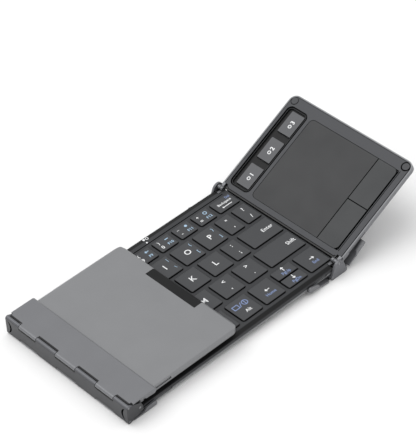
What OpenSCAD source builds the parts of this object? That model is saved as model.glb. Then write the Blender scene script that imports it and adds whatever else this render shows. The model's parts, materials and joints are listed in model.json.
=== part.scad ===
// Folding keyboard in three leaves, shown half open: the base lies on the table, the left
// leaf is folded flat over it and the right leaf, with the touch pad, stands a little raised.
// Each seam turns on short pins above the keys. A spine bracket with end ears hangs on the
// same pins and carries two piano hinges, and a sheet-metal wing on each piano hinge runs
// out over the underside of the leaf beside it.
//
// Row frame: +Z up, table at z = 0, +X towards the right leaf, +Y towards the number row.
// Origin: centre of the right spine's flat underside.
// Base frame: x = 0 midway between the seams, z = 0 at the key tops.
// Leaf frame: origin on the seam axis, +X out along the leaf, +Z out of its keys.

/* [Keys] */
// Width of a letter key's top face
key_w = 14.5; // [12:0.1:16]
// Gap between two neighbouring key tops
key_gap = 3.12; // [2.6:0.02:4]
// Depth of a number key's top face
number_d = 9.6; // [8:0.1:11]
// Depth of a key top in the row nearest the user
thumb_d = 15.1; // [12:0.1:16]
// How far a key travels when it is pressed
key_travel = 1.0; // [0.6:0.1:1.2]
// How far the key tops stand above the deck
key_proud = 0.8; // [0.4:0.1:1.2]
// Flare of a key cap from its top face to its foot, on each side
key_flare = 0.35; // [0.2:0.05:0.5]

/* [Leaves] */
// Distance between the two seam axes
seam_span = 151.2; // [148:0.1:160]
// Front-to-back depth of the three leaves
leaf_depth = 95; // [93:0.5:110]
// Length of the left leaf from its seam axis
left_len = 74.2; // [73:0.1:76]
// Length of the right leaf from its seam axis
right_len = 71.5; // [70:0.1:74]
// Thickness of a leaf, from its deck to its underside at a seam
leaf_t = 3.8; // [3.6:0.1:4.6]
// Extra thickness of the base between the wings, over the battery
belly_t = 0.8; // [0.4:0.1:1.6]
// Corner radius of the outer leaves
corner_r = 5; // [3:0.5:7]
// Wall and floor thickness of the shells
shell_t = 0.8; // [0.6:0.05:1]
// Thickness of a deck
deck_t = 1.0; // [0.8:0.1:1.2]
// Angle at which the right leaf stands above the base
right_angle = 27.8; // [20:0.1:35]

/* [Hinges] */
// Height of the seam axis above the key tops
axis_rise = 0.4; // [0.3:0.1:0.8]
// Distance from the seam axis to the outer face of the spine
spine_reach = 9.1; // [8.8:0.1:10]
// Width of the spine across its two piano hinges
spine_w = 12.7; // [12.4:0.1:14]
// Length of the spine, over its ears
spine_len = 98; // [96:0.5:114]
// Radius of a piano hinge knuckle
knuckle_r = 1.4; // [1.2:0.1:1.6]
// Radius of a piano hinge pin
piano_pin_r = 0.6; // [0.5:0.05:0.8]
// Radius of a seam pin
seam_pin_r = 0.75; // [0.6:0.05:0.9]
// Radius of a seam lug's barrel
lug_r = 1.35; // [1.2:0.05:1.5]
// Distance from a piano hinge to the guide studs of its wing
wing_reach = 17.7; // [17:0.1:20]
// Thickness of a wing plate
wing_t = 0.8; // [0.6:0.05:1]

/* [Right leaf controls] */
// Length of the touch pad along the leaf
pad_len = 57.7; // [50:0.1:60]
// Width of the touch pad
pad_w = 52.4; // [46:0.1:53]
// Width of the two click buttons
click_w = 14.8; // [10:0.1:16]
// Width of the channel that holds the three mode buttons
channel_w = 15.9; // [13:0.1:16]
// How far a click or mode button travels
button_travel = 0.4; // [0.2:0.1:0.6]

/* [Hidden] */
$fn = 48;
eps = 0.01;

// clearances
run_gap = 0.05;      // radial, round a pin
slip_gap = 0.2;      // between sliding or turning faces
cap_gap = 0.22;      // round a key cap or a button
seam_gap = 0.3;      // between the base and an outer leaf
seat_gap = 0.05;     // between pieces of one body that lie side by side

// key caps
cap_h = 1.6;
cap_r = 1.6;
cap_edge = 0.15;
cap_skin = 0.8;
stem_r = 0.9;
stem_drop = 0.4;                            // the stem ends this far below the cap's foot
stem_span = 26.5;                           // between the three stems of a long key
window_gap = key_flare + cap_gap;           // from a key's top face to the rim round the keys
half_key_gap = 0.5;                         // between the up and down keys

// heights in the base frame
deck_z = -key_proud;
deck_low = deck_z - deck_t;
floor_z = deck_z - leaf_t;
belly_z = floor_z - belly_t;
plate_t = 0.65;                             // key plate with its contact sheet
plate_z = -cap_h - key_travel - 0.1;        // top of the key plate
under_d = axis_rise + key_proud + leaf_t;   // depth of an underside below the seam axis
deck_d = axis_rise + key_proud;             // depth of a deck below the seam axis
skirt_z = floor_z + shell_t + 0.3;          // the base deck's skirt meets the base shell here

// plan of the base
half_span = seam_span / 2;
base_over = 0.9;                            // the base runs this far past the seam axis
leaf_start = base_over + seam_gap;
base_end = half_span + base_over;
half_depth = leaf_depth / 2;
bezel_run = 3.4;                            // slope along a deck's front and back edge
bezel_drop = 0.7;
under_bevel = [1.1, 0.7];                   // run and rise of the bevel round an underside
key_end = half_span - 0.3;                  // outer edge of the outermost key tops

// rows from the back: front edge and depth of the key tops, which share the depth of the leaf
back_margin = 8.15;                         // from the key tops to the leaf's back edge
front_margin = 5.39;
number_gap = 3.25;                          // between the number row and the letters
thumb_gap = 3.77;
rows_d = leaf_depth - back_margin - front_margin;
key_d = (rows_d - number_d - thumb_d - number_gap - thumb_gap - 2 * key_gap) / 3;
pitch = key_d + key_gap;
thumb_front = front_margin - half_depth;
lower_front = thumb_front + thumb_d + thumb_gap;
number_front = lower_front + 2 * pitch + key_d + number_gap;
row_front = [number_front, lower_front + 2 * pitch, lower_front + pitch, lower_front, thumb_front];
row_depth = [number_d, key_d, key_d, key_d, thumb_d];
number_w = 12.1;

// key widths of the base from its right edge to its left; one more key fills the row
base_rows = [
    [15.2, for (i = [1:8]) number_w],
    [10.2, 10.3, for (i = [1:6]) key_w],
    [22.9, 10.5, for (i = [1:5]) key_w],
    [27.25, for (i = [1:6]) key_w],
    [14.9, 14.4, 14.7, 14.7]];

// key widths of the left leaf from its seam outwards; one more key fills the row
left_rows = [
    [13, 13, 13, 13],
    [key_w, key_w, key_w],
    [key_w, key_w, 11],
    [key_w, key_w],
    [2 * key_w + key_gap, key_w]];
left_key_start = leaf_start + 1.4;
left_key_end = left_len - 4.2;

// seam pins, lugs and ears, measured along Y from the middle
ear_in = half_depth + slip_gap;
ear_out = spine_len / 2;
lug_in = half_depth - 4;
lug_mid = half_depth - 2.2;
lug_out = half_depth - slip_gap;
notch_in = lug_in - slip_gap;
corner_notch = lug_r + 0.35;
lug_low = 2.2;                              // underside of a lug's arm below the seam axis
lug_high = 0.9;
lug_len = 4;

// spine and wings
piano_d = spine_reach - knuckle_r;          // piano axis below the seam axis, spine flat
piano_h = spine_w / 2 - knuckle_r;          // piano axis from the spine's middle
ear_top_r = 3.75;
ear_top_d = 1.9;
wall_t = 1.3;
knuckle_gap = 0.15;                         // between two knuckles of one piano hinge
knuckle_clear = 0.3;                        // round a knuckle, in the plate beside it
knuckle_ends = [8, 24, 38, ear_out];        // ends of the knuckles from the middle
stud_d = under_d - 1.2;                     // guide stud below the seam axis
stud_r = 0.5;
slot_w = 1.3;
slot_deep = 0.5;
wing_tip = 1.6;                             // the plate runs this far past its studs
wing_bend = [0.6, 1.75];                    // inner face below the hinge-to-stud line, ends
cheek_len = 7;
cheek_top = 0.75;
cheek_in = half_depth + 0.35;
wide_from = 3;                              // beyond this the wing is as wide as the spine

// a wing lies against its leaf when its seam is folded, and again when it is flat
function piano_depth(turn) = piano_h * sin(turn) + piano_d * cos(turn);
function wing_angle(turn) = asin((piano_depth(turn) - stud_d) / wing_reach);
spine_float = 3;                            // the spine may turn this far past flat
folded_wing = wing_angle(90);
inner_slope = (wing_angle(-spine_float) - folded_wing) / (90 + spine_float);
outer_slope = (wing_angle(0) - folded_wing) / 90;
function inner_wing(turn) = folded_wing + (90 - turn) * inner_slope;
function outer_wing(turn) = folded_wing + (90 - turn) * outer_slope;
function stud_x(turn) = wing_reach * cos(wing_angle(turn)) + piano_h * cos(turn) - piano_d * sin(turn);
slot_span = [stud_x(90) - 1.2, stud_x(-spine_float) + 1.2];
belly_end = half_span - slot_span[1] - 5.1; // the belly stays clear of the wing's tip

// the part stands on the right spine and on the left spine's lower knuckles
stand_r = norm([seam_span + piano_d, piano_h]);
tilt = asin(piano_d / stand_r) - atan2(piano_h, seam_span + piano_d);

// controls of the right leaf, in its leaf frame
pad_x = 5.8;
pad_y = -26.1;
pad_t = 0.9;
panel_r = 3;                                // corners of the pad with its click buttons
panel_gap = 0.3;                            // between the pad and the click buttons
front_gap = 0.6;                            // along the front of the click buttons
line_y = [1.5, 0.4];                        // second line: from the click buttons, and width
line_deep = 0.6;
click_y = pad_y - click_w;
click_len = (pad_len - panel_gap) / 2;
button_h = 1.3;
switch_gap = 0.5;                           // under a button's foot, beyond its travel
channel_x = 5.2;
channel_len = 59.1;
channel_y = 28.7;
channel_r = 3.6;
channel_rings = [0, 0.9, 1.25];             // groove from 0 to 0.9, then a ridge up to 1.25
channel_deep = 1.5;
ridge_deep = 0.35;
mode_deep = 0.45;                           // top of a mode button below the deck
tray_t = 0.5;                               // floor and wall of the tray under the channel
mode_y = 1.6;                               // from the channel's front edge to a mode button
mode_w = channel_w - mode_y - 4.1;
mode_len = 15;
mode_pitch = 19.5;
mode_start = channel_x + (channel_len - 2 * mode_pitch - mode_len) / 2;
magnet_r = 2.2;
magnet_in = 3.9;                            // magnet centre from the free edge and the sides
magnet_proud = 0.15;
rim_drop = 0.15;                            // rim of the right shell below its deck
rim_gap = 0.35;                             // line between the deck and that rim
rim_line = 0.5;

// inside the base
screw_x = [-40, 0, 40];
screw_y = half_depth - 3.2;
screw_r = 0.6;
screw_head = [1.2, 0.5];                    // radius and height
boss_r = 1.7;
battery_size = [50, 44];
battery_x = -19;
battery_tab = [4, 12, 0.5];
board_size = [30, 34];
board_x = 26;
board_t = 0.5;
board_hole_in = 3;

// antenna window in the left leaf's free edge
window_len = 39;
window_in = 6.7;

shell_colour = "#8f9092";
frame_colour = "#5f6063";
bezel_colour = "#3e3f41";
key_colour = "#4d4e50";
hinge_colour = "#8a8b8f";
spine_colour = "#5d5e62";

// ---- frames ----

module in_base() {
    translate([0, 0, spine_reach]) rotate([0, -tilt, 0]) translate([-half_span, 0, -axis_rise])
        children();
}

module in_left_seam(turn) {
    in_base() translate([-half_span, 0, axis_rise]) rotate([0, turn, 0]) mirror([1, 0, 0])
        children();
}

module in_left_leaf() {
    in_left_seam(180) children();
}

module in_left_spine() {
    in_left_seam(90) children();
}

module in_right_leaf() {
    translate([0, 0, spine_reach]) rotate([0, -tilt - right_angle, 0]) children();
}

module in_right_spine() {
    translate([0, 0, spine_reach]) children();
}

// a wing's own frame: origin on its piano hinge, +X towards its guide studs, +Z inwards
module at_inner_wing(turn) {
    translate([-piano_h, 0, -piano_d]) rotate([0, turn + inner_wing(turn), 0]) mirror([1, 0, 0])
        children();
}

module at_outer_wing(turn) {
    translate([piano_h, 0, -piano_d]) rotate([0, -turn - outer_wing(turn), 0]) children();
}

// ---- shapes ----

module both_ends() {
    children();
    mirror([0, 1, 0]) children();
}

module rounded_rect(size, r) {
    translate([r, 0]) square([size[0] - 2 * r, size[1]]);
    translate([0, r]) square([size[0], size[1] - 2 * r]);
    for (x = [r, size[0] - r], y = [r, size[1] - r]) translate([x, y]) circle(r);
}

// a bar along Y from y0 to y1, with the profile's y as its z
module bar_y(y0, y1) {
    translate([0, y1, 0]) rotate([90, 0, 0]) linear_extrude(y1 - y0) children();
}

module rod_y(r, y0, y1) {
    translate([0, y1, 0]) rotate([90, 0, 0]) cylinder(r = r, h = y1 - y0);
}

// a bar along X from x0 to x1, with the profile's x as its y and its y as its z
module bar_x(x0, x1) {
    translate([x0, 0, 0]) rotate([90, 0, 90]) linear_extrude(x1 - x0) children();
}

// outline round three circles, given anticlockwise as [x, y, r]
function tangent(a, b) =
    let (d = [b[0] - a[0], b[1] - a[1]])
    let (t = atan2(d[1], d[0]) - acos((a[2] - b[2]) / norm(d)))
    [for (c = [a, b]) [c[0] + c[2] * cos(t), c[1] + c[2] * sin(t)]];

module round_triangle(discs) {
    n = len(discs);
    polygon([for (i = [0:n - 1]) each tangent(discs[i], discs[(i + 1) % n])]);
    for (c = discs) translate([c[0], c[1]]) circle(c[2]);
}

// ---- keys ----

module cap_profile(w) {
    foot = w / 2 + key_flare;
    shoulder = w / 2 + key_flare * cap_edge / cap_h;
    polygon([[-foot, 0], [foot, 0], [shoulder, cap_h - cap_edge], [w / 2 - cap_edge, cap_h],
        [cap_edge - w / 2, cap_h], [-shoulder, cap_h - cap_edge]]);
}

function stems(w) = w > 2 * stem_span ? [-stem_span, 0, stem_span] : [0];

// a cap whose top face has the corners [x0, y0] and [x1, y1] at z = 0
module key_cap(x0, x1, y0, y1) {
    w = x1 - x0;
    d = y1 - y0;
    foot = [w + 2 * key_flare, d + 2 * key_flare];
    hollow = [w - 2 * cap_skin, d - 2 * cap_skin];
    translate([(x0 + x1) / 2, (y0 + y1) / 2, -cap_h]) {
        difference() {
            intersection() {
                bar_y(-d, d) cap_profile(w);
                bar_x(-w, w) cap_profile(d);
                translate(-foot / 2) linear_extrude(cap_h) rounded_rect(foot, cap_r);
            }
            translate([-hollow[0] / 2, -hollow[1] / 2, -eps])
                cube([hollow[0], hollow[1], cap_h - cap_skin + eps]);
        }
        for (x = stems(w)) translate([x, 0, -stem_drop]) cylinder(r = stem_r, h = cap_h);
    }
}

function sum_to(widths, n) = n == 0 ? 0 : widths[n - 1] + key_gap + sum_to(widths, n - 1);
function span(widths, i, start, end) =
    let (a = start + sum_to(widths, i))
    [a, i < len(widths) ? a + widths[i] : end];

// left and right edge of key i, counted from the right in the base, from the seam in the leaf
function base_key(row, i) =
    let (s = span(base_rows[row], i, -key_end, key_end))
    [-s[1], -s[0]];
function left_key(row, i) = span(left_rows[row], i, left_key_start, left_key_end);
function row_back(row) = row_front[row] + row_depth[row];

module base_cap(row, i) {
    x = base_key(row, i);
    in_base() color(key_colour) key_cap(x[0], x[1], row_front[row], row_back(row));
}

// the up and down keys share one place, one behind the other
module half_cap(back) {
    x = base_key(4, 1);
    d = (thumb_d - half_key_gap) / 2 - key_flare;
    y = back ? row_back(4) - d : row_front[4];
    in_base() color(key_colour) key_cap(x[0], x[1], y, y + d);
}

module left_caps(row) {
    in_left_leaf() translate([0, 0, -axis_rise]) color(key_colour)
        for (i = [0:len(left_rows[row])]) {
            x = left_key(row, i);
            key_cap(x[0], x[1], row_front[row], row_back(row));
        }
}

// holes for the stems of one key
module stem_holes(x, y, z) {
    for (s = stems(x[1] - x[0])) translate([(x[0] + x[1]) / 2 + s, y, z - plate_t - eps])
        cylinder(r = stem_r + cap_gap, h = plate_t + 2 * eps);
}

// ---- base ----

module base_outline(inset) {
    x = base_end - inset;
    y = half_depth - inset;
    notch_x = half_span - corner_notch - inset;
    difference() {
        translate([-x, -y]) square([2 * x, 2 * y]);
        for (sx = [-1, 1], sy = [-1, 1]) scale_corner(sx, sy) translate([notch_x, notch_in - inset])
            square([corner_notch + base_over + 1, half_depth]);
    }
}

module scale_corner(sx, sy) {
    mirror([sx < 0 ? 1 : 0, 0]) mirror([0, sy < 0 ? 1 : 0]) children();
}

function mirrored(points) =
    concat(points, [for (i = [len(points) - 1:-1:0]) [-points[i][0], points[i][1]]]);

// long section of the base's underside, open at the top
module base_section(inset) {
    x = base_end - inset;
    b = belly_end - inset;
    polygon(mirrored([[x, deck_low + inset], [x, floor_z + inset], [b + belly_t, floor_z + inset],
        [b, belly_z + inset]]));
}

// cross section with bevelled lower edges, used for all three shells
module cross_section(low, high) {
    polygon(mirrored([[half_depth, high], [half_depth, low + under_bevel[1]],
        [half_depth - under_bevel[0], low]]));
}

module stud_slots(z) {
    both_ends() translate([slot_span[0], half_depth - slot_deep, z - slot_w / 2])
        cube([slot_span[1] - slot_span[0], 1, slot_w]);
}

module at_screws() {
    for (x = screw_x, y = [-screw_y, screw_y]) translate([x, y, belly_z]) children();
}

module base_shell() {
    in_base() color(shell_colour) difference() {
        union() {
            difference() {
                intersection() {
                    bar_y(-half_depth, half_depth) base_section(0);
                    bar_x(-base_end, base_end) cross_section(belly_z, skirt_z);
                    translate([0, 0, belly_z]) linear_extrude(leaf_t + belly_t) base_outline(0);
                }
                intersection() {
                    bar_y(-half_depth, half_depth) base_section(shell_t);
                    translate([0, 0, belly_z]) linear_extrude(leaf_t + belly_t)
                        base_outline(shell_t);
                }
            }
            at_screws() translate([0, 0, shell_t / 2])
                cylinder(r = boss_r, h = plate_z - plate_t - belly_z - shell_t / 2);
        }
        for (side = [0, 1]) mirror([side, 0, 0]) translate([half_span, 0, axis_rise])
            mirror([1, 0, 0]) stud_slots(-stud_d);
        at_screws() {
            translate([0, 0, -eps]) cylinder(r = screw_r + run_gap, h = leaf_t + belly_t);
            translate([0, 0, -eps]) cylinder(r = screw_head[0] + run_gap, h = screw_head[1] + eps);
        }
    }
}

// cross section of a deck with sloping front and back edges
module deck_section(high) {
    polygon(mirrored([[half_depth, high - deck_t], [half_depth, high - bezel_drop],
        [half_depth - bezel_run, high]]));
}

// opening in a deck round one key
module key_window(x, row) {
    translate([x[0] - window_gap, row_front[row] - window_gap])
        rounded_rect([x[1] - x[0] + 2 * window_gap, row_depth[row] + 2 * window_gap],
            cap_r + cap_gap);
}

module lug_pocket(z) {
    both_ends() translate([-seat_gap, lug_in - seat_gap, z - lug_low - seat_gap])
        cube([lug_len + 2 * seat_gap, lug_out - lug_in + 1, lug_low]);
}

module base_skirt() {
    height = deck_low + deck_t / 4 - skirt_z;
    difference() {
        translate([0, 0, skirt_z]) linear_extrude(height) base_outline(0);
        translate([0, 0, skirt_z - eps]) linear_extrude(height + 2 * eps) base_outline(shell_t);
    }
}

module base_deck() {
    in_base() color(bezel_colour) difference() {
        union() {
            intersection() {
                bar_x(-base_end, base_end) deck_section(deck_z);
                translate([0, 0, deck_low]) linear_extrude(deck_t) base_outline(0);
            }
            base_skirt();
        }
        for (row = [0:4], i = [0:len(base_rows[row])])
            translate([0, 0, deck_low - eps]) linear_extrude(deck_t + 2 * eps)
                key_window(base_key(row, i), row);
        for (side = [0, 1]) mirror([side, 0, 0]) translate([half_span, 0, axis_rise])
            mirror([1, 0, 0]) {
                lug_pocket(0);
                stud_slots(-stud_d);
            }
    }
}

module base_key_plate() {
    in_base() color("#2b2c2e") difference() {
        translate([0, 0, plate_z - plate_t]) linear_extrude(plate_t)
            base_outline(shell_t + seat_gap);
        for (row = [0:4], i = [0:len(base_rows[row])])
            if (row != 4 || i != 1)
                stem_holes(base_key(row, i), row_front[row] + row_depth[row] / 2, plate_z);
        for (y = half_key_centres()) stem_holes(base_key(4, 1), y, plate_z);
        at_screws() cylinder(r = screw_r + run_gap, h = leaf_t + belly_t);
    }
}

function half_key_centres() =
    let (d = (thumb_d - half_key_gap) / 2 - key_flare)
    [row_front[4] + d / 2, row_back(4) - d / 2];

module base_battery() {
    low = belly_z + shell_t;
    high = plate_z - plate_t - seat_gap;
    in_base() color("#b9bcc2") translate([battery_x, 0, low]) {
        translate([-battery_size[0] / 2, -battery_size[1] / 2]) linear_extrude(high - low)
            rounded_rect(battery_size, 2);
        translate([battery_size[0] / 2 - 1, -battery_tab[1] / 2, 0]) cube(battery_tab);
    }
}

module base_board() {
    low = belly_z + shell_t;
    in_base() color("#2f6b46") translate([board_x, 0, low]) {
        difference() {
            translate([-board_size[0] / 2, -board_size[1] / 2]) linear_extrude(board_t)
                rounded_rect(board_size, 1);
            for (s = [-1, 1])
                translate([board_size[0] / 2 - board_hole_in, s * (board_size[1] / 2 - board_hole_in), -eps])
                    cylinder(r = 1, h = 1);
        }
        translate([-9, -4, board_t]) cube([7, 7, 0.6]);
        translate([3, 4, board_t]) cube([6, 4, 0.5]);
        translate([2, -11, board_t]) cube([9, 5, 0.6]);
    }
}

module base_screws() {
    in_base() color("#3a3b3d") at_screws() difference() {
        union() {
            cylinder(r = screw_head[0], h = screw_head[1]);
            cylinder(r = screw_r, h = plate_z - belly_z - seat_gap);
        }
        for (a = [0, 90]) rotate([0, 0, a]) translate([-0.75, -0.15, -eps])
            cube([1.5, 0.3, 0.3]);
    }
}

// ---- seam lugs ----

// one lug in a leaf frame: a barrel round the seam axis with an arm into the leaf
module lug(y0, y1) {
    difference() {
        union() {
            rod_y(lug_r, y0, y1);
            translate([0, y0, -lug_low]) cube([lug_len, y1 - y0, lug_low - lug_high]);
        }
        rod_y(seam_pin_r + run_gap, y0 - eps, y1 + eps);
    }
}

module base_lugs() {
    in_base() color("#b9babd") for (side = [0, 1]) mirror([side, 0, 0])
        translate([half_span, 0, axis_rise]) mirror([1, 0, 0])
        both_ends() lug(lug_in, lug_mid - slip_gap);
}

module leaf_lugs() {
    color("#b9babd") both_ends() lug(lug_mid, lug_out);
}

module left_lugs() {
    in_left_leaf() leaf_lugs();
}

module right_lugs() {
    in_right_leaf() leaf_lugs();
}

// ---- outer leaves ----

module leaf_outline(length, inset) {
    r = corner_r - inset;
    x0 = leaf_start + inset;
    y = half_depth - inset;
    difference() {
        union() {
            translate([x0, -y]) square([length - inset - r - x0, 2 * y]);
            translate([x0, r - y]) square([length - inset - x0, 2 * (y - r)]);
            for (s = [-1, 1]) translate([length - inset - r, s * (y - r)]) circle(r);
        }
        both_ends() translate([0, notch_in - inset]) square([corner_notch + inset, half_depth]);
    }
}

// tray of an outer leaf, open towards its deck
module leaf_shell(length, top) {
    difference() {
        intersection() {
            bar_x(0, length) cross_section(-under_d, top);
            bar_y(-half_depth, half_depth)
                polygon([[0, -under_d], [length - under_bevel[0], -under_d],
                    [length, under_bevel[1] - under_d], [length, 0], [0, 0]]);
            translate([0, 0, -under_d]) linear_extrude(leaf_t) leaf_outline(length, 0);
        }
        translate([0, 0, shell_t - under_d]) linear_extrude(leaf_t)
            leaf_outline(length, shell_t);
        stud_slots(-stud_d);
    }
}

module leaf_deck(length) {
    intersection() {
        bar_x(0, length) deck_section(-deck_d);
        translate([0, 0, -deck_d - deck_t]) linear_extrude(deck_t) leaf_outline(length, 0);
    }
}

module window_block(gap) {
    translate([left_len - window_in - gap, -window_len / 2 - gap, -under_d - eps])
        cube([window_in + 1, window_len + 2 * gap, leaf_t - deck_t]);
}

module left_shell() {
    in_left_leaf() color(shell_colour) difference() {
        leaf_shell(left_len, -deck_d - deck_t);
        window_block(seat_gap);
    }
}

module left_antenna_window() {
    in_left_leaf() color("#38393b") intersection() {
        leaf_shell(left_len, -deck_d - deck_t);
        window_block(0);
    }
}

module left_deck() {
    in_left_leaf() color(bezel_colour) difference() {
        leaf_deck(left_len);
        for (row = [0:4], i = [0:len(left_rows[row])])
            translate([0, 0, -deck_d - 2 * deck_t]) linear_extrude(3 * deck_t)
                key_window(left_key(row, i), row);
        lug_pocket(0);
    }
}

module left_key_plate() {
    top = plate_z - axis_rise;
    in_left_leaf() color("#2b2c2e") difference() {
        translate([0, 0, top - plate_t]) linear_extrude(plate_t)
            leaf_outline(left_len, shell_t + seat_gap);
        for (row = [0:4], i = [0:len(left_rows[row])])
            stem_holes(left_key(row, i), row_front[row] + row_depth[row] / 2, top);
    }
}

// the right shell's wall comes up round its deck
module right_shell() {
    in_right_leaf() color("#77787b") difference() {
        leaf_shell(right_len, -deck_d - rim_drop);
        lug_pocket(0);
    }
}

module panel_outline(gap) {
    translate([pad_x - gap, click_y - gap])
        rounded_rect([pad_len + 2 * gap, click_w + pad_w + 2 * gap], panel_r + gap);
}

module channel_outline(inset) {
    translate([channel_x + inset, channel_y + inset])
        rounded_rect([channel_len - 2 * inset, channel_w - 2 * inset], channel_r - inset);
}

module mode_place(i, gap) {
    translate([mode_start + i * mode_pitch - gap, channel_y + mode_y - gap])
        rounded_rect([mode_len + 2 * gap, mode_w + 2 * gap], 0.6 + gap);
}

module at_magnets() {
    for (s = [-1, 1]) translate([right_len - magnet_in, s * (half_depth - magnet_in), -deck_d])
        children();
}

// a plate below the deck's top, from depth a down to depth b
module right_layer(a, b) {
    translate([0, 0, -deck_d - b]) linear_extrude(b - a) children();
}

module right_deck() {
    inset = shell_t + seat_gap;
    in_right_leaf() color(frame_colour) difference() {
        union() {
            right_layer(0, deck_t) leaf_outline(right_len, inset + rim_gap);
            right_layer(rim_line, deck_t) leaf_outline(right_len, inset);
            right_layer(deck_t - eps, channel_deep + tray_t) channel_outline(-tray_t);
        }
        lug_pocket(0);
        right_layer(-1, deck_t + 1) panel_outline(cap_gap);
        right_layer(-1, deck_t + 1) translate([pad_x, click_y - front_gap])
            square([pad_len, click_w]);
        right_layer(-1, line_deep) translate([pad_x, click_y - line_y[0] - line_y[1]])
            square([pad_len, line_y[1]]);
        right_layer(-1, ridge_deep) channel_outline(channel_rings[0]);
        difference() {
            right_layer(-1, channel_deep) channel_outline(channel_rings[0]);
            right_layer(-2, channel_deep + 1) channel_outline(channel_rings[1]);
        }
        right_layer(-1, channel_deep) channel_outline(channel_rings[2]);
        for (i = [0:2]) right_layer(-1, channel_deep + 1) mode_place(i, cap_gap);
        at_magnets() translate([0, 0, -deck_t / 2]) cylinder(r = magnet_r + seat_gap, h = 2);
    }
}

module right_magnets() {
    in_right_leaf() color("#55565a") at_magnets() translate([0, 0, seat_gap - deck_t / 2])
        cylinder(r = magnet_r, h = deck_t / 2 - seat_gap + magnet_proud);
}

module touchpad() {
    in_right_leaf() color("#565759") intersection() {
        right_layer(0.1, pad_t) panel_outline(0);
        right_layer(0, deck_t) translate([pad_x, pad_y]) square([pad_len, pad_w]);
    }
}

module click_button(i) {
    foot_z = shell_t - under_d + button_travel + switch_gap;
    x = pad_x + i * (click_len + panel_gap);
    in_right_leaf() color("#636466") {
        intersection() {
            right_layer(0, button_h) panel_outline(0);
            right_layer(-1, button_h + 1) translate([x, click_y])
                square([click_len, click_w - panel_gap]);
        }
        translate([x + click_len / 2, click_y + click_w / 2, foot_z])
            cylinder(r = 1.5, h = -deck_d - button_h / 2 - foot_z);
    }
}

module click_left() {
    click_button(0);
}

module click_right() {
    click_button(1);
}

module mode_button(i) {
    foot_z = shell_t - under_d + button_travel + switch_gap;
    in_right_leaf() color("#77787a") {
        right_layer(mode_deep, mode_deep + button_h) mode_place(i, 0);
        translate([mode_start + i * mode_pitch + mode_len / 2, channel_y + mode_y + mode_w / 2, foot_z])
            cylinder(r = 1.5, h = -deck_d - mode_deep - button_h / 2 - foot_z);
    }
}

module mode_button_1() {
    mode_button(0);
}

module mode_button_2() {
    mode_button(1);
}

module mode_button_3() {
    mode_button(2);
}

// ---- hinge units ----

module ear_outline() {
    round_triangle([[-piano_h, -piano_d, knuckle_r], [piano_h, -piano_d, knuckle_r],
        [0, -ear_top_d, ear_top_r]]);
}

// where the wings' knuckles lie, on both sides of the middle
module wing_knuckles(r, gap) {
    rod_y(r, -knuckle_ends[0] - gap, knuckle_ends[0] + gap);
    both_ends() rod_y(r, knuckle_ends[1] - gap, knuckle_ends[2] + gap);
}

module spine() {
    color(spine_colour) difference() {
        union() {
            difference() {
                union() {
                    translate([-piano_h, -ear_out, -spine_reach])
                        cube([2 * piano_h, 2 * ear_out, wall_t]);
                    for (x = [-piano_h, piano_h]) translate([x, 0, -piano_d])
                        rod_y(knuckle_r, -ear_out, ear_out);
                }
                for (x = [-piano_h, piano_h]) translate([x, 0, -piano_d])
                    wing_knuckles(knuckle_r + knuckle_clear, knuckle_gap);
            }
            both_ends() bar_y(ear_in, ear_out) ear_outline();
        }
        for (x = [-piano_h, piano_h]) translate([x, 0, -piano_d])
            rod_y(piano_pin_r + run_gap, -ear_out - eps, ear_out + eps);
        rod_y(seam_pin_r + run_gap, -ear_out - eps, ear_out + eps);
    }
}

module hinge_pins() {
    color("#c3c4c6") {
        for (x = [-piano_h, piano_h]) translate([x, 0, -piano_d])
            rod_y(piano_pin_r, -ear_out, ear_out);
        both_ends() rod_y(seam_pin_r, lug_in, ear_out);
    }
}

module wing() {
    tip = wing_reach + wing_tip;
    bend = wing_bend[0] + wing_t;
    color("#87888b") difference() {
        union() {
            bar_y(-ear_out, ear_out)
                polygon([[0, -wing_bend[0]], [0, -bend], [tip - 0.9, -wing_bend[1] - wing_t],
                    [tip, -wing_bend[1] - 0.3], [tip, -wing_bend[1]]]);
            wing_knuckles(knuckle_r, -knuckle_gap);
            both_ends() bar_y(cheek_in, ear_out) cheek();
            both_ends() translate([wing_reach, 0, 0]) rod_y(stud_r, half_depth + 0.1, ear_out);
        }
        // clear of the spine's knuckles and ears
        both_ends() {
            rod_y(knuckle_r + knuckle_clear, knuckle_ends[0] - knuckle_gap,
                knuckle_ends[1] + knuckle_gap);
            rod_y(knuckle_r + knuckle_clear, knuckle_ends[2] - knuckle_gap, ear_out + 1);
            translate([-eps - 2, half_depth, -3]) cube([wide_from + 2, 3, 5]);
        }
        rod_y(piano_pin_r + run_gap, -ear_out, ear_out);
    }
}

module cheek() {
    back = wing_reach + wing_tip - cheek_len;
    tip = wing_reach + wing_tip;
    polygon([[back - 2.4, -wing_bend[1]], [tip, -wing_bend[1]], [tip, cheek_top - 0.9],
        [tip - 0.9, cheek_top], [back, cheek_top]]);
}

module left_spine() {
    in_left_spine() spine();
}

module left_wing_lower() {
    in_left_spine() at_inner_wing(90) wing();
}

module left_wing_upper() {
    in_left_spine() at_outer_wing(90) wing();
}

module left_hinge_pins() {
    in_left_spine() hinge_pins();
}

module right_spine() {
    in_right_spine() spine();
}

module right_wing_base() {
    in_right_spine() at_inner_wing(-tilt) wing();
}

module right_wing_leaf() {
    in_right_spine() at_outer_wing(right_angle + tilt) wing();
}

module right_hinge_pins() {
    in_right_spine() hinge_pins();
}

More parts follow.
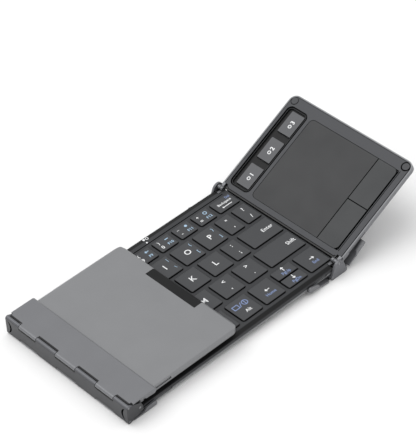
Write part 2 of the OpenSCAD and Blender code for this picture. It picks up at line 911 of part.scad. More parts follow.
base_shell();
base_deck();
base_key_plate();
base_battery();
base_board();
base_screws();
base_lugs();
left_hinge_pins();
right_hinge_pins();
base_cap(0, 3);  // key_0
base_cap(0, 2);  // key_minus
base_cap(0, 1);  // key_equals
base_cap(0, 0);  // key_backspace
base_cap(1, 3);  // key_o
base_cap(1, 2);  // key_p
base_cap(1, 1);  // key_quote
base_cap(1, 0);  // key_slash
base_cap(2, 3);  // key_k
base_cap(2, 2);  // key_l
base_cap(2, 1);  // key_semicolon
base_cap(2, 0);  // key_enter
base_cap(3, 2);  // key_comma
base_cap(3, 1);  // key_period
base_cap(3, 0);  // key_shift
base_cap(4, 3);  // key_alt
base_cap(4, 2);  // key_left
half_cap(true);  // key_up
half_cap(false);  // key_down
base_cap(4, 0);  // key_right
for (i = [4:9]) base_cap(0, i);  // keys_4_to_9
for (i = [4:8]) base_cap(1, i);  // keys_r_to_i
for (i = [4:7]) base_cap(2, i);  // keys_f_to_j
for (i = [3:7]) base_cap(3, i);  // keys_c_to_m
base_cap(4, 4);  // key_space
left_shell();
left_deck();
left_key_plate();
left_lugs();
left_antenna_window();
left_caps(0);  // left_keys_numbers
left_caps(1);  // left_keys_upper
left_caps(2);  // left_keys_home
left_caps(3);  // left_keys_lower
left_caps(4);  // left_keys_thumb
right_shell();
right_deck();
right_lugs();
right_magnets();
touchpad();
click_left();
click_right();
mode_button_1();
mode_button_2();
mode_button_3();
left_spine();
left_wing_upper();
left_wing_lower();
right_spine();
right_wing_base();
right_wing_leaf();
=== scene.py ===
import json
import math

import bmesh
import bpy
from mathutils import Euler, Matrix, Vector


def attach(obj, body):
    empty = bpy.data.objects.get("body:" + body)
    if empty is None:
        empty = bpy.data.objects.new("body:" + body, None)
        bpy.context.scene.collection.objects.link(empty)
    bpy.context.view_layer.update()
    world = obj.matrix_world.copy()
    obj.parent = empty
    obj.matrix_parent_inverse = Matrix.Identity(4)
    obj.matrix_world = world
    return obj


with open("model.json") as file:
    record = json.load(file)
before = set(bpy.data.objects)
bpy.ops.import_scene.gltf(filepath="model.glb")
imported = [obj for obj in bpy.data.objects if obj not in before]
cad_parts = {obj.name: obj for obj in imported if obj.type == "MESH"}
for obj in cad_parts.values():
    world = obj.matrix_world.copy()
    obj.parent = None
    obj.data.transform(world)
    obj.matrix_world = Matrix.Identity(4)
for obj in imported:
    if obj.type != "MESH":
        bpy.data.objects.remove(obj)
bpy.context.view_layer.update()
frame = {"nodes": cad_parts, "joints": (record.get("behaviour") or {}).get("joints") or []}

MM = 0.001
NODES = frame["nodes"]
JOINTS = {j["name"]: j for j in frame["joints"]}


# ---- frames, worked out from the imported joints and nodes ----
# Each has its Y along the seams and its Z out of the surface that it lies on.

def seam_frame(point, angle):
    """A frame at a point, turned by an angle about the seams' direction."""
    return Matrix.Translation(point) @ Matrix.Rotation(angle, 4, "Y")


def raised(place, node):
    """A frame, moved along its Z to the highest point of a node."""
    inverse = place.inverted()
    top = max((inverse @ v.co).z for v in NODES[node].data.vertices)
    return place @ Matrix.Translation((0, 0, top))


def piano_axes(side):
    """Points on the two piano hinges of a side's spine."""
    return [Vector(j["pos_m"]) for name, j in sorted(JOINTS.items())
            if name.startswith(side) and "wing" in name]


def spine_wall(side):
    """A frame in the middle of a spine's outer wall."""
    first, second = piano_axes(side)
    up = (second - first).normalized()
    out = up.cross(Vector((0, 1, 0)))
    middle = (first + second) / 2
    if out.dot(middle - SEAMS[side]) < 0:
        up, out = -up, -out
    wall = Matrix([(up[i], (0, 1, 0)[i], out[i], middle[i]) for i in range(3)]
                  + [(0, 0, 0, 1)])
    return raised(wall, side + "_spine")


SEAMS = {side: Vector(JOINTS[side + "_hinge_turn"]["pos_m"]) for side in ("left", "right")}
SPAN = SEAMS["right"] - SEAMS["left"]
TILT = math.atan2(SPAN.z, SPAN.x)
RIGHT_ANGLE = -math.radians(JOINTS["right_leaf_turn"]["range_deg"][0])

BASE = raised(seam_frame((SEAMS["left"] + SEAMS["right"]) / 2, -TILT), "key_space")
BASE_DECK = raised(BASE, "base_deck")
# +X towards the seam, as the left leaf's keys are read
LEFT_LEAF = raised(seam_frame(SEAMS["left"], math.pi - TILT), "left_keys_home")
RIGHT_DECK = raised(seam_frame(SEAMS["right"], -RIGHT_ANGLE), "right_deck")
ALONG_X = Matrix.Rotation(math.pi / 2, 4, "Y")         # turns heights into places along x


# ---- materials ----

MOTTLE_SIZE = 14 * MM
GRAIN_BAND = (0.3, 0.7)                  # of the fine noise, from dark to light grain
GRAIN_DEPTH = 0.3                        # over the grain's size
OPEN_BAND = (0.25, 0.8)                  # how open a place is, from a crease to a free surface
CREASE_SHADE = 0.12                      # share of the colour left in a crease by painted shade
GLOSS_SWING = 0.08                       # of the roughness, either way
CREASE_SAMPLES, EDGE_SAMPLES = 8, 6
HINGE_SHADE = 0.93                             # share of the colour that painted shade takes beside a hinge's knuckles
HINGE_SHADE_R = 2.4 * MM                       # how far from a piano hinge's axis that painted shade reaches


def linear(hex_colour):
    parts = [int(hex_colour[i:i + 2], 16) / 255 for i in (1, 3, 5)]
    return tuple(p / 12.92 if p <= 0.04045 else ((p + 0.055) / 1.055) ** 2.4 for p in parts)


def calc(tree, kind, *values):
    """The result of a maths node on numbers and other nodes' results."""
    node = tree.nodes.new("ShaderNodeMath")
    node.operation = kind
    for socket, value in zip(node.inputs, values):
        if isinstance(value, (int, float)):
            socket.default_value = value
        else:
            tree.links.new(value, socket)
    return node.outputs[0]


def remap(tree, value, source, target):
    """A value with its source range stretched to the target range."""
    node = tree.nodes.new("ShaderNodeMapRange")
    for name, number in zip(("From Min", "From Max", "To Min", "To Max"), (*source, *target)):
        node.inputs[name].default_value = number
    tree.links.new(value, node.inputs["Value"])
    return node.outputs[0]


def noise(tree, coords, size, detail):
    node = tree.nodes.new("ShaderNodeTexNoise")
    node.inputs["Scale"].default_value = 1 / size
    node.inputs["Detail"].default_value = detail
    tree.links.new(coords, node.inputs["Vector"])
    return node.outputs["Fac"]


def by_crease(tree, reach):
    """Painted shade: the share of the colour that is left in creases."""
    node = tree.nodes.new("ShaderNodeAmbientOcclusion")
    node.samples = CREASE_SAMPLES
    node.inputs["Distance"].default_value = reach
    return remap(tree, node.outputs["AO"], OPEN_BAND, (CREASE_SHADE, 1))


def by_level(tree, coords, place, steps):
    """Painted shade: the steps' share of the colour at a point's height in a frame."""
    row = place.inverted()[2]
    height = tree.nodes.new("ShaderNodeVectorMath")
    height.operation = "DOT_PRODUCT"
    height.inputs[1].default_value = row[:3]
    tree.links.new(coords, height.inputs[0])
    low, high = steps[0][0], steps[-1][0]
    ramp = tree.nodes.new("ShaderNodeValToRGB")
    stops = ramp.color_ramp.elements
    for z, _ in steps[1:-1]:
        stops.new((z - low) / (high - low))
    for stop, (_, share) in zip(stops, steps):
        stop.color = (share, share, share, 1)
    span = (low * MM - row[3], high * MM - row[3])
    tree.links.new(remap(tree, height.outputs["Value"], span, (0, 1)), ramp.inputs[0])
    return ramp.outputs[0]


def by_hinge(tree, coords, axes, bands):
    """The share left by painted shade close to piano axes, along bands of |y| in mm, where the
    slots beside the knuckles lie in shadow.
    """
    spot = tree.nodes.new("ShaderNodeSeparateXYZ")
    tree.links.new(coords, spot.inputs[0])
    x, y, z = spot.outputs
    near, along = 1.0, 0.0
    for axis in axes:
        dx = calc(tree, "SUBTRACT", x, axis.x)
        dz = calc(tree, "SUBTRACT", z, axis.z)
        gap = calc(tree, "ADD", calc(tree, "MULTIPLY", dx, dx), calc(tree, "MULTIPLY", dz, dz))
        near = calc(tree, "MINIMUM", gap, near)
    for low, high in bands:
        band = calc(tree, "COMPARE", calc(tree, "ABSOLUTE", y),
                    (low + high) / 2 * MM, (high - low) / 2 * MM)
        along = calc(tree, "MAXIMUM", band, along)
    close = calc(tree, "LESS_THAN", near, HINGE_SHADE_R ** 2)
    return calc(tree, "MULTIPLY_ADD", calc(tree, "MULTIPLY", close, along), -HINGE_SHADE, 1.0)


def tinted(tree, colour, shade):
    """A colour, darkened by a share."""
    tint = tree.nodes.new("ShaderNodeMix")
    tint.data_type = "RGBA"
    tint.blend_type = "MULTIPLY"
    tint.inputs["Factor"].default_value = 1
    tint.inputs["A"].default_value = (*linear(colour), 1)
    tree.links.new(shade, tint.inputs["B"])
    return tint.outputs["Result"]


def relief(tree, height, depth, strength, edge):
    """Normals with a relief as deep as depth, and with edges rounded by a radius."""
    bumps = tree.nodes.new("ShaderNodeBump")
    bumps.inputs["Strength"].default_value = strength
    bumps.inputs["Distance"].default_value = depth
    tree.links.new(height, bumps.inputs["Height"])
    if edge:
        rim = tree.nodes.new("ShaderNodeBevel")
        rim.samples = EDGE_SAMPLES
        rim.inputs["Radius"].default_value = edge
        tree.links.new(rim.outputs[0], bumps.inputs["Normal"])
    return bumps.outputs[0]


def surface(name, colour, rough=0.5, metallic=0.0, grain=0.15 * MM, bump=0.1, mottle=0.04,
            specular=0.5, coat=0.0, edge=0.12 * MM, crease=1.2 * MM, levels=None,
            hinges=None):
    """A moulded or coated surface: fine grain in its height, slow mottling in colour and gloss.

    Painted shade darkens its creases. levels is (a frame, steps) of painted shade, each step a
    height in that frame in mm and the share of the colour left there. hinges is (piano axes,
    bands) of painted shade beside a hinge's knuckles."""
    mat = bpy.data.materials.new(name)
    mat.use_nodes = True
    tree = mat.node_tree
    tree.nodes.clear()
    out = tree.nodes.new("ShaderNodeOutputMaterial")
    bsdf = tree.nodes.new("ShaderNodeBsdfPrincipled")
    tree.links.new(bsdf.outputs[0], out.inputs[0])
    bsdf.inputs["Metallic"].default_value = metallic
    bsdf.inputs["Specular IOR Level"].default_value = specular
    bsdf.inputs["Coat Weight"].default_value = coat
    coords = tree.nodes.new("ShaderNodeTexCoord").outputs["Object"]
    fine = noise(tree, coords, grain, detail=2)
    slow = noise(tree, coords, MOTTLE_SIZE, detail=4)

    swing = (1 - mottle, 1 + mottle)
    shade = calc(tree, "MULTIPLY", remap(tree, slow, (0, 1), swing),
                 remap(tree, fine, GRAIN_BAND, swing))
    # painted shade in creases
    if crease:
        shade = calc(tree, "MULTIPLY", shade, by_crease(tree, crease))
    # painted shade by height, or by place along x
    if levels:
        shade = calc(tree, "MULTIPLY", shade, by_level(tree, coords, *levels))
    # painted shade beside a piano hinge's knuckles
    if hinges:
        shade = calc(tree, "MULTIPLY", shade, by_hinge(tree, coords, *hinges))
    tree.links.new(tinted(tree, colour, shade), bsdf.inputs["Base Color"])
    gloss = (rough - GLOSS_SWING, rough + GLOSS_SWING)
    tree.links.new(remap(tree, slow, (0, 1), gloss), bsdf.inputs["Roughness"])
    normals = relief(tree, fine, grain * GRAIN_DEPTH, bump, edge)
    tree.links.new(normals, bsdf.inputs["Normal"])
    return mat


def mirrored(steps):
    """Steps along x, with the same on the side below zero."""
    return tuple((-x, share) for x, share in reversed(steps)) + steps


# steps of painted shade, each (place or height in mm, share of the colour left)
# along x: painted shade on the covers' rims at the seams
BASE_RIM_SHADE = mirrored(((73.8, 1), (74, 0.04), (76, 0.04)))
RIGHT_RIM_SHADE = ((0, 0.04), (2.3, 0.04), (2.5, 1), (3, 1))
# above the ground: painted shade on the foot of a spine's wall, below the folded leaf's rim
WALL_SHADE = ((0, 0.36), (11.5, 0.36), (12.2, 1), (13, 1))
# from a key's top: painted shade on its sides
KEY_SIDE_SHADE = ((-1.6, 0.08), (-0.18, 0.08), (-0.06, 1), (0.2, 1))
# from a deck: painted shade just below its top at the edges of the keys' windows, darker
# towards the bottom of its sides, and in the channel, on its floor, ridge and edge
WINDOW_EDGE_SHADE = ((-5.2, 0.7), (-0.8, 1), (-0.55, 0.15), (-0.15, 0.15), (-0.03, 1), (0.3, 1))
CHANNEL_SHADE = ((-1.4, 0.08), (-0.5, 0.08), (-0.38, 0.35), (-0.3, 0.35),
           (-0.22, 0.1), (-0.12, 0.1), (-0.04, 1), (0.2, 1))

# a piano hinge's knuckles, the wing's and the spine's in turn, in mm from its middle
KNUCKLE_ENDS = (0, 8, 24, 38, 49.5)
WING_KNUCKLES = (KNUCKLE_ENDS[0:2], KNUCKLE_ENDS[2:4])
SPINE_KNUCKLES = (KNUCKLE_ENDS[1:3], KNUCKLE_ENDS[3:5])

METAL_GRAIN = 0.12 * MM
PAINT = dict(rough=0.42, metallic=0.25, grain=METAL_GRAIN, bump=0.12)
HINGE_PAINT = dict(rough=0.36, metallic=0.3, grain=METAL_GRAIN)
DECK_PLASTIC = dict(rough=0.55, grain=0.2 * MM, bump=0.2, specular=0.2)
KEY_PLASTIC = dict(rough=0.55, grain=0.2 * MM, bump=0.25, specular=0.2)
INK = dict(mottle=0.02, edge=0, crease=0)

COVER = surface("cover_grey", "#7e7f81", **PAINT)
# the base's and the right leaf's covers get painted shade on their rims at the seams
BASE_COVER = surface("base_cover_grey", "#7e7f81", **PAINT, levels=(BASE @ ALONG_X, BASE_RIM_SHADE))
RIGHT_COVER = surface("right_cover_grey", "#77787b", rough=0.42, metallic=0.25,
                      levels=(RIGHT_DECK @ ALONG_X, RIGHT_RIM_SHADE))
# the wings get painted shade beside the spines' knuckles
WING, RIGHT_WING = [
    surface(name, "#727376", **HINGE_PAINT, hinges=(piano_axes(side), SPINE_KNUCKLES))
    for name, side in (("wing_grey", "left"), ("right_wing_grey", "right"))]
# painted shade on the left spine's wall below its knuckles, and beside the wings' knuckles
SPINE = surface("spine_grey", "#5f6064", **HINGE_PAINT, levels=(Matrix(), WALL_SHADE),
                hinges=(piano_axes("left"), WING_KNUCKLES))
# a lighter copy of the spine grey: painted light on the right hinge's ear, whose front face
# gets little light; painted shade beside the wings' knuckles
RIGHT_SPINE_LIT = surface("right_spine_grey", "#68696d", rough=0.42, metallic=0.3,
                      grain=METAL_GRAIN, hinges=(piano_axes("right"), WING_KNUCKLES))
KNUCKLE = surface("lug_steel", "#6c6d70", rough=0.35, metallic=0.6, mottle=0.02)
PIN = surface("pin_steel", "#8a8b8e", rough=0.25, metallic=0.9, mottle=0.02)
BEZEL = surface("bezel_plastic", "#3a3b3d", **DECK_PLASTIC)
# painted shade at the keys' windows, and in creases that reach further
BASE_BEZEL = surface("base_bezel_plastic", "#3a3b3d", **DECK_PLASTIC, crease=2.2 * MM,
                     levels=(BASE_DECK, WINDOW_EDGE_SHADE))
# painted shade on the keys' sides, on the base and on the left leaf
KEY = surface("key_plastic", "#464749", **KEY_PLASTIC, levels=(BASE, KEY_SIDE_SHADE))
LEFT_KEY = surface("left_key_plastic", "#464749", **KEY_PLASTIC, levels=(LEFT_LEAF, KEY_SIDE_SHADE))
# painted shade in the mode buttons' channel
FRAME = surface("frame_plastic", "#47484b", rough=0.5, grain=0.18 * MM, bump=0.2, specular=0.25,
                levels=(RIGHT_DECK, CHANNEL_SHADE))
PAD = surface("pad_plastic", "#1f2022", rough=0.5, grain=0.1 * MM, bump=0.1)
CLICK = surface("click_plastic", "#282a2c", rough=0.5, grain=0.14 * MM, bump=0.15)
MODE = surface("mode_plastic", "#4b4c4f", rough=0.45, grain=0.14 * MM, bump=0.15)
PLATE = surface("plate_black", "#0c0c0d", rough=0.7)
WINDOW = surface("window_plastic", "#0e0f10", rough=0.6, grain=0.2 * MM, specular=0.25)
RUBBER = surface("magnet_cap", "#3c3d40", rough=0.6)
FOIL = surface("battery_foil", "#a5a8ad", rough=0.35, metallic=0.8, grain=0.6 * MM, bump=0.3)
BOARD = surface("board_green", "#1f4a31", rough=0.35, coat=0.3)
INKS = {
    "white": surface("white_ink", "#e6e7e8", rough=0.5, **INK),
    "blue": surface("blue_ink", "#7d8fb9", rough=0.5, **INK),
    "dark": surface("shadow_line", "#030303", rough=0.9, specular=0.0, **INK),
    "pale": surface("pale_blue_ink", "#a3bfd6", rough=0.5, **INK),
}

MODE_BUTTONS = ["mode_button_%d" % i for i in (1, 2, 3)]
FINISH = {
    "base_shell": BASE_COVER, "left_shell": COVER, "right_shell": RIGHT_COVER,
    "base_deck": BASE_BEZEL, "left_deck": BEZEL, "right_deck": FRAME,
    "base_key_plate": PLATE, "left_key_plate": PLATE,
    "base_battery": FOIL, "base_board": BOARD, "base_screws": PLATE,
    "base_lugs": KNUCKLE, "left_lugs": KNUCKLE, "right_lugs": KNUCKLE,
    "left_hinge_pins": PIN, "right_hinge_pins": PIN,
    "left_antenna_window": WINDOW, "right_magnets": RUBBER,
    "touchpad": PAD, "click_left": CLICK, "click_right": CLICK,
    **{name: MODE for name in MODE_BUTTONS},
    "left_spine": SPINE, "right_spine": RIGHT_SPINE_LIT,
    "left_wing_upper": WING, "left_wing_lower": WING,
    "right_wing_base": RIGHT_WING, "right_wing_leaf": RIGHT_WING,
}
for name, node in NODES.items():
    node.data.materials.clear()
    node.data.materials.append(FINISH.get(name, LEFT_KEY if name.startswith("left") else KEY))


# ---- plates of ink, for the printed legends and for painted shadow lines ----
# Their outlines, sizes and places are in mm, and angles in degrees.

INK_T = 0.02 * MM
INK_Z = 0.02 * MM                        # middle of the ink above the surface that it lies on
TOP_EDGE = 0.05                          # a top face lies this close to its highest point
CAPITAL = 0.73                           # height of a capital over the size of the font
ARROW_LINE = 0.5
inked = {}                               # (body, ink) to its bmesh


def caps(node, place):
    """Top faces of a node's keys in a frame, from right to left, as (x, y, w, d) in mm."""
    mesh, inverse = NODES[node].data, place.inverted()
    spots = [inverse @ v.co / MM for v in mesh.vertices]
    names = [tuple(round(c, 2) for c in p) for p in spots]
    root = {n: n for n in names}

    def find(n):
        while root[n] != n:
            n = root[n]
        return n

    for face in mesh.polygons:
        first = find(names[face.vertices[0]])
        for i in face.vertices[1:]:
            root[find(names[i])] = first
    groups = {}
    for name, spot in zip(names, spots):
        groups.setdefault(find(name), []).append(spot)
    tops = []
    for spots in groups.values():
        level = max(p.z for p in spots) - TOP_EDGE
        xs, ys = zip(*[(p.x, p.y) for p in spots if p.z > level])
        tops.append(((min(xs) + max(xs)) / 2, (min(ys) + max(ys)) / 2,
                     max(xs) - min(xs), max(ys) - min(ys)))
    return sorted(tops, reverse=True)


def plate(outline, hole=None):
    """A thin plate from an outline, with an optional hole of as many points."""
    bm = bmesh.new()
    rings = []
    for z in (-INK_T / 2, INK_T / 2):
        for line in (outline, hole) if hole else (outline,):
            rings.append([bm.verts.new((x * MM, y * MM, z)) for x, y in line])
    n = len(outline)
    # each pair of rings has a band of faces between them
    pairs = [(0, 2), (3, 1), (2, 3), (1, 0)] if hole else [(0, 1)]
    for a, b in pairs:
        for i in range(n):
            j = (i + 1) % n
            bm.faces.new((rings[a][i], rings[a][j], rings[b][j], rings[b][i]))
    if not hole:
        bm.faces.new(rings[0][::-1])
        bm.faces.new(rings[1])
    return bm


def turned(shape, angle):
    """A shape, turned about the origin."""
    bmesh.ops.rotate(shape, matrix=Matrix.Rotation(math.radians(angle), 3, "Z"),
                     verts=shape.verts)
    return shape


def circle(r, n=24):
    return [(r * math.cos(2 * math.pi * i / n), r * math.sin(2 * math.pi * i / n))
            for i in range(n)]


def disc(r):
    return plate(circle(r))


def ring(r, line):
    return plate(circle(r), circle(r - line))


def box(w, h, line=None):
    outer = [(-w / 2, -h / 2), (w / 2, -h / 2), (w / 2, h / 2), (-w / 2, h / 2)]
    if not line:
        return plate(outer)
    return plate(outer, [(x - math.copysign(line, x), y - math.copysign(line, y))
                         for x, y in outer])


def arrow(length, angle, head):
    """An open-headed arrow centred on the origin, pointing along an angle."""
    tip, arm, half = length / 2, head / 2, ARROW_LINE / 2
    neck, cut = tip - ARROW_LINE * math.sqrt(2) - half, ARROW_LINE / math.sqrt(2)
    below = [(-tip, -half), (neck, -half), (tip - arm - cut, cut - arm), (tip - arm, -arm)]
    return turned(plate(below + [(tip, 0)] + [(x, -y) for x, y in reversed(below)]), angle)


def arc(half, rise, steps=16):
    """Points of an arc over a chord of twice half, as (along the chord, above it)."""
    r = (half * half + rise * rise) / (2 * rise)
    turn = math.asin(half / r)
    return [(r * math.sin(turn * (2 * i / steps - 1)),
             r * math.cos(turn * (2 * i / steps - 1)) - r + rise) for i in range(steps + 1)]


def letters(text, cap, bold=0.06):
    """Plain lettering about the origin, with capitals cap high and strokes grown by bold."""
    curve = bpy.data.curves.new("lettering", "FONT")
    curve.body = text
    curve.size = cap / CAPITAL * MM
    curve.offset = bold * MM
    curve.extrude = INK_T / 2
    curve.resolution_u = 3
    holder = bpy.data.objects.new("lettering", curve)
    bpy.context.scene.collection.objects.link(holder)
    mesh = bpy.data.meshes.new_from_object(
        holder.evaluated_get(bpy.context.evaluated_depsgraph_get()))
    bm = bmesh.new()
    bm.from_mesh(mesh)
    bpy.data.objects.remove(holder)
    bpy.data.curves.remove(curve)
    bpy.data.meshes.remove(mesh)
    xs, ys = [v.co.x for v in bm.verts], [v.co.y for v in bm.verts]
    middle = Vector(((min(xs) + max(xs)) / 2, (min(ys) + max(ys)) / 2, 0))
    bmesh.ops.translate(bm, verts=bm.verts, vec=-middle)
    return bm


def ink(body, colour, place, x, y, shape):
    """Adds a shape to the ink of a body, at x and y on the surface of a frame."""
    matrix = place @ Matrix.Translation((x * MM, y * MM, INK_Z))
    bmesh.ops.transform(shape, matrix=matrix, verts=shape.verts)
    scratch = bpy.data.meshes.new("scratch")
    shape.to_mesh(scratch)
    shape.free()
    inked.setdefault((body, colour), bmesh.new()).from_mesh(scratch)
    bpy.data.meshes.remove(scratch)


def legends(body, place, keys):
    """Marks each key of a body, from right to left, with what its entry says."""
    for (x, y, w, d), key in zip(caps(body, place), keys):
        for colour, dx, dy, shape in key(w, d):
            ink(body, colour, place, x + dx, y + dy, shape)


# ---- what the keys say ----
# An entry gives the marks of a key w wide and d deep, as (ink, x, y, shape), with x and y
# from the key's middle.

# heights of capitals
LETTER, SIGN, DIGIT, WORD, SMALL, F_NUMBER = 4.0, 3.0, 2.6, 2.4, 2.2, 2.0
# how much strokes are grown
HEAVY, MEDIUM, LIGHT, FINE = 0.1, 0.04, 0.03, 0.02

LETTER_AT = (0.4, 0.4)
WORD_IN = 5.2                            # a short word's middle from its key's left side
SECOND_X, SECOND_YS = 5.3, (-3.4, 3.9)   # the small signs beside a letter
NUB = (3.2, 0.45)                        # the raised line on F and J
NUB_RISE = 2.2                           # of its middle above the key's front
PAIR_X, PAIR_YS = 0.7, (-3.7, 3.8)       # a lower and an upper sign
NUMBER_XS = (-3.0, 2.9)                  # a number key's columns: its digit, its second use
NUMBER_YS = (-1.8, 2.1)                  # its lower and its upper line
F_Y = -1.9
SLASH_LEAN = math.degrees(-0.5)
# small plain marks for the second uses of the number row
ICONS = (
    lambda: ring(1.3, 0.45), lambda: box(2.6, 1.9, 0.4),
    lambda: arrow(2.8, 0, 2.0), lambda: arrow(2.8, 180, 2.0),
    lambda: box(2.4, 0.6), lambda: disc(0.9),
)


def letter(text, second=""):
    def marks(w, d):
        if len(text) > 1:
            yield "white", WORD_IN - w / 2, 0, letters(text, WORD, MEDIUM)
        else:
            yield "white", *LETTER_AT, letters(text, LETTER)
        if text in ("F", "J"):
            yield "white", LETTER_AT[0], NUB_RISE - d / 2, box(*NUB)
        for mark, y in zip(second, SECOND_YS):
            yield "pale", SECOND_X, y, letters(mark, SMALL, FINE)
    return marks


def pair(*signs):
    def marks(w, d):
        for sign, y in zip(signs, PAIR_YS):
            yield "white", PAIR_X, y, letters(sign, SIGN)
    return marks


def number(lower, upper, use):
    def marks(w, d):
        yield "white", NUMBER_XS[0], NUMBER_YS[0], letters(lower, DIGIT)
        yield "white", NUMBER_XS[0], NUMBER_YS[1], letters(upper, SMALL)
        yield "pale", NUMBER_XS[1], NUMBER_YS[1], ICONS[use % len(ICONS)]()
        yield "pale", NUMBER_XS[1], F_Y, letters("F%d" % use, F_NUMBER, MEDIUM)
    return marks


def word(text, x, y, cap):
    def marks(w, d):
        yield "white", x, y, letters(text, cap, MEDIUM)
    return marks


def arrow_key(angle, text, rise):
    def marks(w, d):
        yield "white", 0.8, rise, arrow(3.4, angle, 2.2)
        yield "blue", 0.7, rise - 3.4, letters(text, 2.1, LIGHT)
    return marks


def backspace(w, d):
    yield "white", *LETTER_AT, letters("Backspace", 1.8, LIGHT)
    yield "white", 0.0, -2.4, arrow(7.5, 180, 1.5)
    yield "blue", 4.9, 3.1, letters("Del", 1.7, LIGHT)


def alt(w, d):
    """A box, a slash and a barred ring over the word."""
    yield "white", 0.7, -3.1, letters("Alt", WORD, MEDIUM)
    yield "blue", -3.4, 2.5, box(4.2, 3.4, 0.5)
    yield "blue", 3.2, 2.5, ring(2.0, 0.5)
    yield "blue", 3.2, 2.5, box(0.45, 3.4)
    yield "blue", 0.0, 2.5, turned(box(0.45, 3.6), SLASH_LEAN)


def blank(w, d):
    return ()


# keys of each node from right to left
BASE_KEYS = {
    "key_backspace": [backspace],
    "key_equals": [number("=", "+", 12)], "key_minus": [number("-", "_", 11)],
    "key_0": [number("0", ")", 10)],
    "keys_4_to_9": [number(str(n), sign, n) for n, sign in zip(range(9, 3, -1), "(*&^%$")],
    "key_slash": [pair("/", "?")], "key_quote": [pair("'", '"')],
    "key_p": [letter("P", "]}")], "key_o": [letter("O", "[{")],
    "keys_r_to_i": [letter("I", "\\|")] + [letter(c) for c in "UYTR"],
    "key_enter": [word("Enter", 5.6, 0.2, 2.7)], "key_semicolon": [pair(";", ":")],
    "key_l": [letter("L")], "key_k": [letter("K")],
    "keys_f_to_j": [letter(c) for c in "JHGF"],
    "key_shift": [word("Shift", 8.8, 0.2, 2.7)], "key_period": [pair(".", ">")],
    "key_comma": [pair(",", "<")], "keys_c_to_m": [letter(c) for c in "MNBVC"],
    "key_right": [arrow_key(0, "End", 0.5)], "key_left": [arrow_key(180, "Home", 0.5)],
    "key_up": [arrow_key(90, "PgUp", 1.9)], "key_down": [arrow_key(-90, "PgDn", 1.6)],
    "key_alt": [alt], "key_space": [blank],
}
LEFT_KEYS = {
    "left_keys_numbers": [number(str(n), sign, n) for n, sign in zip((3, 2, 1), "#@!")]
    + [pair("`", "~"), word("Esc", 0, 0, SMALL)],
    "left_keys_upper": [letter("E"), letter("W"), letter("Q"), letter("Tab")],
    "left_keys_home": [letter("D"), letter("S"), letter("A"), letter("Caps")],
    "left_keys_lower": [letter("X"), letter("Z"), letter("Shift")],
    "left_keys_thumb": [blank, letter("Alt"), letter("Ctrl")],
}


def mark_keys():
    for body, keys in BASE_KEYS.items():
        legends(body, BASE, keys)
    for body, keys in LEFT_KEYS.items():
        legends(body, LEFT_LEAF, keys)


def mark_mode_buttons():
    for i, body in enumerate(MODE_BUTTONS, start=1):
        place = raised(RIGHT_DECK, body)
        (x, y, w, d), = caps(body, place)
        ink(body, "white", place, x - 1.5, y, ring(1.2, 0.5))
        ink(body, "white", place, x + 1.4, y, letters(str(i), 2.9, HEAVY))


def mark_status():
    """Three small marks on the deck behind the number row."""
    ink("base", "white", BASE_DECK, 14.4, 45.8, disc(0.8))
    ink("base", "white", BASE_DECK, 16.5, 45.5, ring(1.0, 0.4))
    ink("base", "white", BASE_DECK, 14.2, 42.9, disc(0.55))


# ---- painted shadows: plates of dark ink along lines that lie in shadow ----

CRESCENT_HALF = 4.3                      # half its chord
CRESCENT_RISES = (2.9, 1.6)              # of its outer and its inner arc
CRESCENT_Y = 47.2                        # of its chord, from the wall's middle
MAGNET_HOLE = 0.05                       # the gap round a magnet: its radius over the magnet's, where the painted shadow ring begins
# a magnet's painted shadow ring: how wide, and how far off the magnet's middle
BACK_SHADOW_RING, FRONT_SHADOW_RING = (0.3, -0.1, 0), (0.7, -0.1, 0.2)
# widths of the painted shadow lines on the pad's front and on the left click's side
PAD_SHADOW = 0.3
CLICK_SHADOW = 0.3
CLICK_GAP, CLICK_GAP_SHADOW = 0.6, 0.5     # the gap in front of the click buttons, and the painted shadow line in it
CLICK_GAP_END = 0.5                      # from the gap's painted shadow line to either side of the pad
# widths of the painted shadow lines along a mode button's front and side
MODE_FRONT_SHADOW, MODE_SIDE_SHADOW = 0.4, 0.25
MODE_SIDE_X = 0.12                       # of the side's painted shadow line's middle, from the button's side
NUMBER_ROW_SHADOW = (146, 0.6)                 # a painted shadow line behind the number row
NUMBER_ROW_SHADOW_Y = 41.7


def add_crescents():
    """Dark crescents of painted shade on each spine's outer wall, one near either end."""
    outer, inner = [arc(CRESCENT_HALF, rise) for rise in CRESCENT_RISES]
    crescent = outer + inner[-2:0:-1]
    for side in SEAMS:
        for end in (1, -1):
            outline = [(x, end * (CRESCENT_Y - y)) for x, y in crescent]
            ink(side + "_hinge", "dark", spine_wall(side), 0, 0,
                plate(outline if end < 0 else outline[::-1]))


# painted shadow: a dark ring in the gap round each magnet
def add_magnet_rims():
    for x, y, w, d in caps("right_magnets", RIGHT_DECK):
        width, dx, dy = BACK_SHADOW_RING if y > 0 else FRONT_SHADOW_RING
        ink("right_leaf", "dark", RIGHT_DECK, x + dx, y + dy,
            ring(w / 2 + MAGNET_HOLE + width, width))


def add_pad_edges():
    """Painted shadow lines along the pad's front, between the click buttons and in the gap in
    front of them.
    """
    place = raised(RIGHT_DECK, "touchpad")
    (pad_x, y, pad_w, d), = caps("touchpad", place)
    ink("right_leaf", "dark", place, pad_x, y - (d - PAD_SHADOW) / 2, box(pad_w, PAD_SHADOW))
    place = raised(RIGHT_DECK, "click_left")
    (x, y, w, d), = caps("click_left", place)
    ink("click_left", "dark", place, x + (w - CLICK_SHADOW) / 2, y, box(CLICK_SHADOW, d))
    ink("right_leaf", "dark", RIGHT_DECK, pad_x, y - d / 2 - CLICK_GAP - CLICK_GAP_SHADOW / 2,
        box(pad_w - 2 * CLICK_GAP_END, CLICK_GAP_SHADOW))


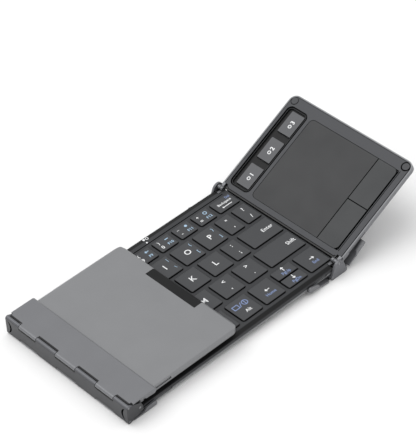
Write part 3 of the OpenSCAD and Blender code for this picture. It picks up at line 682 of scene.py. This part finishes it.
# painted shadow lines along each mode button's front and one side
def add_mode_edges():
    for body in MODE_BUTTONS:
        place = raised(RIGHT_DECK, body)
        (x, y, w, d), = caps(body, place)
        ink(body, "dark", place, x, y - (d - MODE_FRONT_SHADOW) / 2, box(w, MODE_FRONT_SHADOW))
        ink(body, "dark", place, x - w / 2 + MODE_SIDE_X, y, box(MODE_SIDE_SHADOW, d))


# a painted shadow line across the deck behind the number row
def add_number_line():
    ink("base", "dark", BASE_DECK, 0, NUMBER_ROW_SHADOW_Y, box(*NUMBER_ROW_SHADOW))


def add_ink():
    """Makes one piece of each ink of each body: the printed legends, and the dark ink's painted
    shadows.
    """
    for (body, colour), bm in inked.items():
        mesh = bpy.data.meshes.new("%s_print_and_shadow_%s" % (body, colour))
        bm.to_mesh(mesh)
        bm.free()
        mesh.materials.append(INKS[colour])
        piece = bpy.data.objects.new(mesh.name, mesh)
        bpy.context.scene.collection.objects.link(piece)
        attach(piece, body)


mark_keys()
mark_mode_buttons()
mark_status()
add_crescents()
add_magnet_rims()
add_pad_edges()
add_mode_edges()
add_number_line()
add_ink()


# ---- stage ----

FLOOR_SIZE = 6
PAPER = (0.9, 0.9, 0.9, 1)
LIGHT_PLACE, LIGHT_AIM = (-0.4, 0.5, 1.4), (-0.07, 0, 0)
LIGHT_SIZE = 1.5
LIGHT_POWER = 13
SKY_STRENGTH = 0.82
# the camera that fits the photograph
PHOTO_WIDTH = 416                        # in pixels
FOCAL_PX = 2057.4
SENSOR_WIDTH = 36
CAMERA_PLACE = Vector((-628.43, -621.17, 782.3)) * MM
CAMERA_TURN = (48.955, 1.4858, -44.0926)                # in degrees


def add_floor():
    bpy.ops.mesh.primitive_plane_add(size=FLOOR_SIZE)
    floor = bpy.context.object
    floor.name = "floor"
    mat = bpy.data.materials.new("paper_white")
    mat.use_nodes = True
    bsdf = mat.node_tree.nodes["Principled BSDF"]
    bsdf.inputs["Base Color"].default_value = PAPER
    bsdf.inputs["Roughness"].default_value = 0.9
    floor.data.materials.append(mat)


def add_light():
    light = bpy.data.lights.new("key", "AREA")
    light.shape = "RECTANGLE"
    light.size = light.size_y = LIGHT_SIZE
    light.energy = LIGHT_POWER
    holder = bpy.data.objects.new("key", light)
    bpy.context.scene.collection.objects.link(holder)
    holder.location = LIGHT_PLACE
    beam = Vector(LIGHT_AIM) - Vector(LIGHT_PLACE)
    holder.rotation_euler = beam.to_track_quat("-Z", "Y").to_euler()


def add_world():
    world = bpy.data.worlds.new("studio")
    bpy.context.scene.world = world
    world.use_nodes = True
    background = world.node_tree.nodes["Background"]
    background.inputs["Color"].default_value = (1, 1, 1, 1)
    background.inputs["Strength"].default_value = SKY_STRENGTH


def add_camera():
    camera = bpy.data.cameras.new("camera")
    camera.sensor_fit = "HORIZONTAL"
    camera.sensor_width = SENSOR_WIDTH
    camera.lens = SENSOR_WIDTH * FOCAL_PX / PHOTO_WIDTH
    camera.clip_start, camera.clip_end = 0.05, 20
    holder = bpy.data.objects.new("camera", camera)
    bpy.context.scene.collection.objects.link(holder)
    holder.location = CAMERA_PLACE
    holder.rotation_euler = Euler([math.radians(a) for a in CAMERA_TURN])
    bpy.context.scene.camera = holder


bpy.context.scene.view_settings.view_transform = "Standard"
add_floor()
add_light()
add_world()
add_camera()
